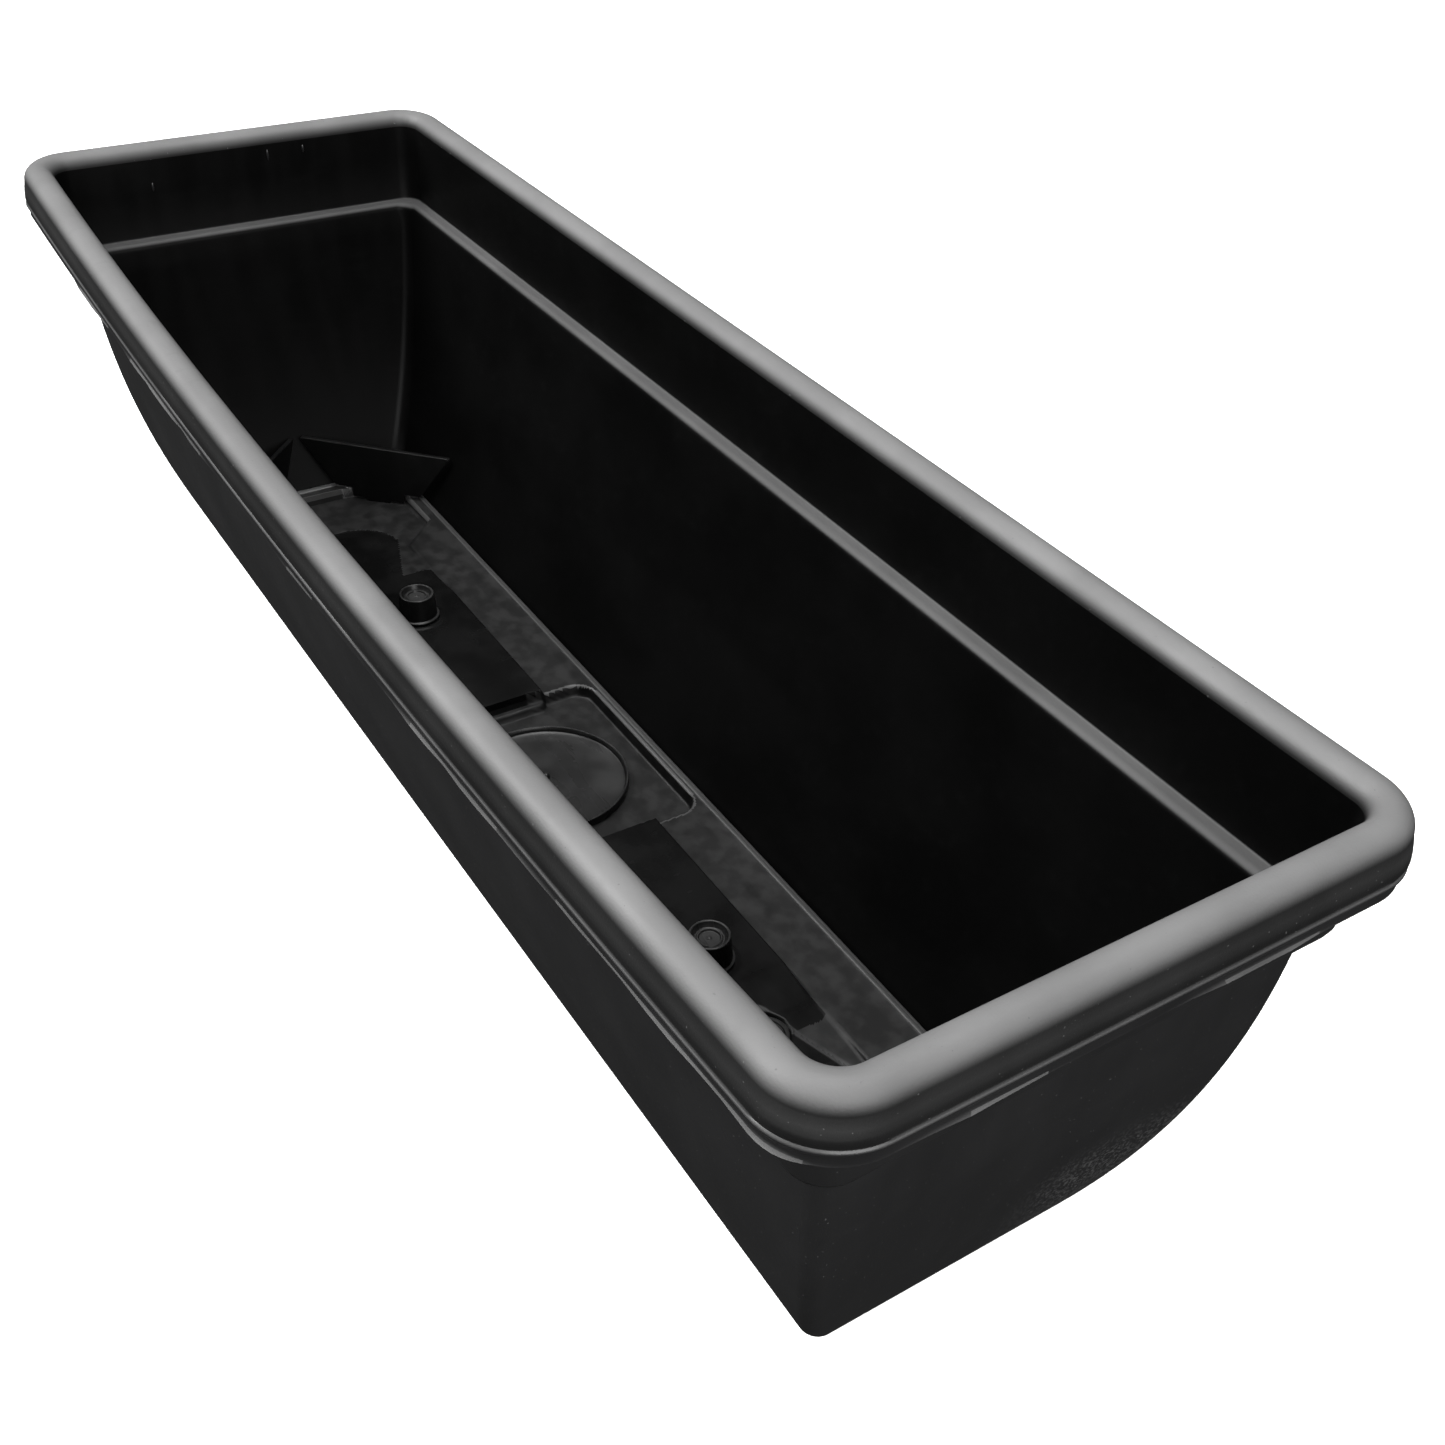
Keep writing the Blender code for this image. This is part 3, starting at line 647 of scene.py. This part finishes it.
def plate_height(x, y):
    """Top surface of the false floor above its level strip."""
    height = panel_level(x) * inside_share(panel_distance(x, y))
    height -= LOBE_DROP * inside_share(lobe_distance(x, y), 0.0016)
    height -= PAD_DROP * inside_share(box_distance(x, y, PAD_LENGTH, PAD_WIDTH, PAD_CORNER))
    boss = panel_level(np.array(PLUG_X)) + BOSS_HEIGHT
    share = inside_share(np.hypot(np.abs(x) - PLUG_X, y) - BOSS_RADIUS, 0.0016)
    height = height * (1.0 - share) + boss * share
    recess = panel_level(np.array(BUNG_X)) - BUNG_THICKNESS - GAP
    share = inside_share(np.hypot(x - BUNG_X, y) - BUNG_RADIUS - 0.0005, 0.0008)
    height = height * (1.0 - share) + recess * share
    edge = np.minimum(PLATE_WIDTH - np.abs(y), outline_reach(y) - np.abs(x))
    height += PLATE_LIP * inside_share(edge - PLATE_LIP_WIDTH, 0.0010)
    return height - 0.0009 * (1.0 - np.clip(edge / 0.0014, 0.0, 1.0)) ** 2


def outline_reach(y):
    """Half length of the plate at a distance across it: its corners are cut off."""
    return np.minimum(PLATE_LENGTH, CORNER_LINE - np.abs(y))


def hole_distance(x, y):
    """Signed distance to the nearest hole: for the cap, the plugs, the bung and the baffles."""
    along = np.abs(x) - (BAFFLE_LINE - BAFFLE_Y)
    across = np.abs(y) - BAFFLE_Y
    slot = box_distance((along - across) / math.sqrt(2), (along + across) / math.sqrt(2),
                        TONGUE_HALF + 2 * GAP, BAFFLE_THICKNESS / 2 + GAP, 0.0002)
    return np.minimum.reduce([
        np.hypot(x, y) - CAP_SPIGOT - 0.0006,
        np.hypot(np.abs(x) - PLUG_X, y) - PLUG_HOLE,
        np.hypot(x - BUNG_X, y) - BUNG_SPIGOT - GAP,
        slot])


def snap_to_holes(x, y):
    """Move the grid points nearest to a hole's edge onto that edge."""
    tiny = 0.00001
    distance = hole_distance(x, y)
    slope_x = (hole_distance(x + tiny, y) - distance) / tiny
    slope_y = (hole_distance(x, y + tiny) - distance) / tiny
    near = np.where(np.abs(distance) < 0.55 * CELL, distance, 0.0)
    return x - near * slope_x, y - near * slope_y


def plate_mesh():
    """A fine sheet that follows the plate's height, closed below, with its holes left out."""
    rows = int(2 * PLATE_WIDTH / CELL)
    columns = int(2 * PLATE_LENGTH / CELL)
    across, along = np.meshgrid(np.linspace(-PLATE_WIDTH, PLATE_WIDTH, rows + 1),
                                np.linspace(-1.0, 1.0, columns + 1), indexing="ij")
    x, y = snap_to_holes(along * outline_reach(across), across)
    top = STRIP_TOP + plate_height(x, y)
    points = np.concatenate([np.stack([x, y, top], -1).reshape(-1, 3),
                             np.stack([x, y, top - PLATE], -1).reshape(-1, 3)])
    centre_x = (x[1:, 1:] + x[1:, :-1] + x[:-1, 1:] + x[:-1, :-1]) / 4
    centre_y = (y[1:, 1:] + y[1:, :-1] + y[:-1, 1:] + y[:-1, :-1]) / 4
    solid = np.zeros((rows + 2, columns + 2), dtype=bool)
    solid[1:-1, 1:-1] = hole_distance(centre_x, centre_y) > 0
    count = x.size
    index = np.arange(count).reshape(x.shape)
    a, b = index[:-1, :-1], index[:-1, 1:]
    c, d = index[1:, 1:], index[1:, :-1]
    kept = solid[1:-1, 1:-1]
    faces = [np.stack([a, b, c, d], -1)[kept],
             np.stack([a, d, c, b], -1)[kept] + count]
    for first, second, beyond in ((a, b, solid[:-2, 1:-1]), (b, c, solid[1:-1, 2:]),
                                  (c, d, solid[2:, 1:-1]), (d, a, solid[1:-1, :-2])):
        edge = kept & ~beyond
        faces.append(np.stack([first, first + count, second + count, second], -1)[edge])
    mesh = bpy.data.meshes.new("false_floor_top")
    mesh.from_pydata(points.tolist(), [], np.concatenate(faces).tolist())
    top_slots = np.where(glossy_part(centre_x, centre_y)[kept], PANEL_SLOT, STRIP_SLOT)
    # rounded edges get the painted-highlight slot
    top_slots = np.where(highlighted_edges(centre_x, centre_y)[kept], EDGE_HIGHLIGHT_SLOT, top_slots)
    finish = np.full(len(mesh.polygons), STRIP_SLOT, dtype=np.int32)
    finish[:top_slots.size] = top_slots
    mesh.polygons.foreach_set("material_index", finish)
    return mesh


def leg_profile(drop):
    """A tapered leg with a rounded foot, joined to the plate by a small flare."""
    top = STRIP_TOP - PLATE / 2 - drop
    foot = BASE_THICKNESS + GAP
    return [(0.0, top), (LEG_RADIUS + 0.0012, top), (LEG_RADIUS, top - 0.0026),
            (LEG_RADIUS - 0.0005, foot + 0.0006), (LEG_RADIUS - 0.0011, foot), (0.0, foot)]


def make_plate(materials):
    bm = bmesh.new()
    bm.from_mesh(plate_mesh())
    bmesh.ops.delete(bm, geom=[v for v in bm.verts if not v.link_faces], context="VERTS")
    for sx in (-1, 1):
        for sy in (-1, 1):
            for x, y, drop in LEG_PLACES:
                lathe(bm, leg_profile(drop), (sx * x, sy * y, 0), 28)
    add_piece("false_floor", finish_mesh(bm, "false_floor", 70),
              [materials[name] for name in ("strip", "panel", "edge_highlight")], "false_floor",
              "floor_plastic", "reservoir_plate")


# ---------------------------------------------------------------- corner baffles
def baffle_outline():
    """Half-profile mirrored: (along, height) round the plate, its foot and its tongue."""
    top = BAFFLE_TOP - STRIP_TOP
    foot = GAP - BAFFLE_SINK
    clear = PLATE_LIP + GAP
    half = [(TONGUE_HALF - 0.001, GAP - TONGUE_LENGTH), (TONGUE_HALF, GAP - TONGUE_LENGTH + 0.001),
            (TONGUE_HALF, foot), (BAFFLE_SEAT_HALF, foot), (BAFFLE_SEAT_HALF, clear),
            (BAFFLE_FOOT_HALF, clear), (BAFFLE_TOP_HALF, top - 0.0006),
            (BAFFLE_TOP_HALF - 0.0008, top)]
    return half + [(-along, up) for along, up in reversed(half)]


def make_baffle(end, flank, sx, sy, material):
    """An upright plate across a corner, with rounded edges."""
    name = f"baffle_{end}_{flank}"
    turn = Matrix.Rotation(math.radians(-45 * sx * sy), 4, "Z")
    place = Matrix.Translation((sx * (BAFFLE_LINE - BAFFLE_Y), sy * BAFFLE_Y, STRIP_TOP))
    bm = bmesh.new()
    half = BAFFLE_THICKNESS / 2
    face = bm.faces.new([bm.verts.new((along, -half, up)) for along, up in baffle_outline()])
    side = bmesh.ops.extrude_face_region(bm, geom=[face])["geom"]
    moved = [item for item in side if isinstance(item, bmesh.types.BMVert)]
    bmesh.ops.translate(bm, verts=moved, vec=(0, 2 * half, 0))
    bmesh.ops.bevel(bm, geom=list(bm.edges), offset=0.0005, segments=3, profile=0.5,
                    affect="EDGES")
    bmesh.ops.transform(bm, matrix=place @ turn, verts=bm.verts)
    add_piece(name, finish_mesh(bm, name, 50), [material], name, "floor_plastic",
              f"corner_{name}")


# ---------------------------------------------------------------- plugs, cap and bung
def plug_profile():
    """Dished top with a rounded rim, an inner ring and a gate point; flange; hollow stem."""
    top = PLUG_HEIGHT
    rim = 0.0006
    bowl = top - 0.0021
    inner = PLUG_STEM - 0.0016
    profile = [(0.0, bowl + 0.0006), (0.0005, bowl + 0.0005), (0.0009, bowl + 0.0001),
               (0.0030, bowl), (0.0036, bowl + 0.0001), (0.0039, bowl + 0.0006),
               (0.0043, bowl + 0.0006), (0.0047, bowl + 0.0002), (0.0052, bowl + 0.0003)]
    profile += arc(PLUG_TOP_RADIUS - rim, top - rim, rim, 165, 0, 9)
    profile += [(PLUG_RADIUS, 0.0022), (PLUG_RADIUS + 0.0001, 0.0015)]
    profile += arc(PLUG_FLANGE - 0.0005, 0.0007, 0.0005, 90, -60, 5)
    profile += [(PLUG_STEM, 0.0), (PLUG_STEM - 0.0003, -PLUG_DIP + 0.0010),
                (PLUG_STEM - 0.0012, -PLUG_DIP), (inner, -PLUG_DIP),
                (inner, 0.0070), (0.0, 0.0074)]
    return profile


def cap_profile():
    """A shallow saucer: gate nub, floor that falls outwards, thin rim, foot ring and spigot."""
    dish = CAP_HEIGHT - 0.0012
    profile = [(0.0, dish + 0.0024), (0.0008, dish + 0.0023), (0.0013, dish + 0.0018),
               (0.0016, dish + 0.0004), (0.0026, dish + 0.0001), (0.0060, dish),
               (0.0150, dish - 0.0004), (CAP_RADIUS - 0.0080, dish - 0.0011),
               (CAP_RADIUS - 0.0024, dish - 0.0013), (CAP_RADIUS - 0.0014, dish - 0.0008)]
    profile += arc(CAP_RADIUS - 0.0005, CAP_HEIGHT - 0.0004, 0.0004, 140, 0, 5)
    profile += [(CAP_RADIUS, 0.0004), (CAP_RADIUS - 0.0004, 0.0), (CAP_RADIUS - 0.0020, 0.0),
                (CAP_RADIUS - 0.0026, 0.0004), (CAP_SPIGOT, 0.0002),
                (CAP_SPIGOT - 0.0003, -CAP_DIP), (CAP_SPIGOT - 0.0020, -CAP_DIP),
                (CAP_SPIGOT - 0.0022, dish - 0.0012), (0.0, dish - 0.0012)]
    return profile


def bung_profile():
    """A flush disc with two ring grooves, on a hollow spigot."""
    profile = [(0.0, 0.0), (0.0040, 0.0)]
    for groove in (0.0046, 0.0066):
        profile += [(groove - 0.0003, 0.0), (groove, -0.0004), (groove + 0.0003, 0.0)]
    profile += arc(BUNG_RADIUS - 0.0003, -0.0003, 0.0003, 90, 0, 3)
    return profile + [(BUNG_RADIUS, -BUNG_THICKNESS), (BUNG_SPIGOT, -BUNG_THICKNESS),
                      (BUNG_SPIGOT - 0.0003, -BUNG_DIP), (BUNG_SPIGOT - 0.0018, -BUNG_DIP),
                      (BUNG_SPIGOT - 0.0020, -BUNG_THICKNESS), (0.0, -BUNG_THICKNESS)]


def make_fitting(name, profile, place, material, body, node):
    bm = bmesh.new()
    lathe(bm, profile, place)
    add_piece(name, finish_mesh(bm, name), [material], body, "fittings_plastic", node)


def make_fittings(material):
    seat = STRIP_TOP + float(panel_level(np.array(PLUG_X))) + BOSS_HEIGHT + GAP
    for end, side in (("far", -1), ("near", 1)):
        make_fitting(f"plug_{end}", plug_profile(), (side * PLUG_X, 0, seat), material,
                     f"plug_{end}", f"overflow_plug_{end}")
    make_fitting("cap", cap_profile(), (0, 0, STRIP_TOP - PAD_DROP + GAP), material, "cap",
                 "reservoir_cap")
    flush = STRIP_TOP + float(panel_level(np.array(BUNG_X)))
    make_fitting("bung", bung_profile(), (BUNG_X, 0, flush), material, "bung", "drain_bung")


# ---------------------------------------------------------------- camera, light and floor
def place_camera():
    azimuth = math.radians(CAMERA_AZIMUTH)
    elevation = math.radians(CAMERA_ELEVATION)
    back = Vector((math.cos(elevation) * math.sin(azimuth),
                   -math.cos(elevation) * math.cos(azimuth), math.sin(elevation)))
    right = Vector((0, 0, 1)).cross(back).normalized()
    up = back.cross(right)
    turn = Matrix((right, up, back)).transposed().to_4x4()
    data = bpy.data.cameras.new("camera")
    data.lens = CAMERA_LENS
    data.shift_x, data.shift_y = CAMERA_SHIFT
    data.clip_start = 0.01
    camera = bpy.data.objects.new("camera", data)
    camera.matrix_world = (Matrix.Translation(CAMERA_PLACE) @ turn
                           @ Matrix.Rotation(math.radians(CAMERA_ROLL), 4, "Z"))
    bpy.context.scene.collection.objects.link(camera)
    bpy.context.scene.camera = camera


def area_light(name, place, target, width, height, power):
    data = bpy.data.lights.new(name, "AREA")
    data.shape = "RECTANGLE"
    data.size = width
    data.size_y = height
    data.energy = power
    light = bpy.data.objects.new(name, data)
    light.location = place
    light.rotation_euler = (Vector(target) - Vector(place)).to_track_quat("-Z", "Y").to_euler()
    bpy.context.scene.collection.objects.link(light)


def light_scene():
    """Dim room light that darkens towards the ground, and four softboxes."""
    world = bpy.data.worlds.new("studio")
    bpy.context.scene.world = world
    world.use_nodes = True
    tree = world.node_tree
    place = tree.nodes.new("ShaderNodeTexCoord")
    split = tree.nodes.new("ShaderNodeSeparateXYZ")
    tree.links.new(place.outputs["Generated"], split.inputs["Vector"])
    level = remap(tree, split.outputs["Z"], -0.3, 0.9, 0.65, 2.1)
    tree.links.new(level, tree.nodes["Background"].inputs["Strength"])
    area_light("back_softbox", (-1.1, 0.85, 1.0), (0, 0, 0.1), 1.6, 1.0, 2)
    area_light("top_softbox", (0, 0.1, 1.6), (0, 0, 0.1), 1.2, 0.8, 18)
    area_light("side_softbox", (-1.0, -1.5, 1.75), (0, 0, 0.1), 1.7, 1.4, 84)
    area_light("end_softbox", (1.4, -0.3, 0.7), (0, 0, 0.1), 1.2, 1.0, 17)


def make_floor():
    """A pale floor that sweeps up into a wall; it casts and reflects nothing onto the planter."""
    bm = bmesh.new()
    sweep = [(0.0, 0.0)] + arc(SWEEP_FLAT, SWEEP_RADIUS, SWEEP_RADIUS, -90, 0, 12)
    sweep.append((SWEEP_FLAT + SWEEP_RADIUS, WALL_TOP))
    lathe(bm, sweep)
    floor = bpy.data.objects.new("studio_floor", finish_mesh(bm, "studio_floor"))
    mesh = floor.data
    material = bpy.data.materials.new("studio_floor")
    material.use_nodes = True
    shader = material.node_tree.nodes["Principled BSDF"]
    shader.inputs["Base Color"].default_value = (0.95, 0.95, 0.95, 1.0)
    shader.inputs["Roughness"].default_value = 0.9
    shader.inputs["Emission Color"].default_value = (1.0, 1.0, 1.0, 1.0)
    shader.inputs["Emission Strength"].default_value = 0.9
    mesh.materials.append(material)
    bpy.context.scene.collection.objects.link(floor)
    floor.visible_glossy = False
    floor.visible_diffuse = False
    floor.visible_shadow = False


# ---------------------------------------------------------------- assembly
def main():
    materials = make_materials()
    make_trough(materials)
    make_nicks(materials["lip"])
    make_plate(materials)
    for end, sx in (("far", -1), ("near", 1)):
        for flank, sy in (("front", -1), ("back", 1)):
            make_baffle(end, flank, sx, sy, materials["baffle"])
    make_fittings(materials["fittings"])
    place_camera()
    light_scene()
    make_floor()


bpy.context.scene.view_settings.view_transform = "Standard"
main()
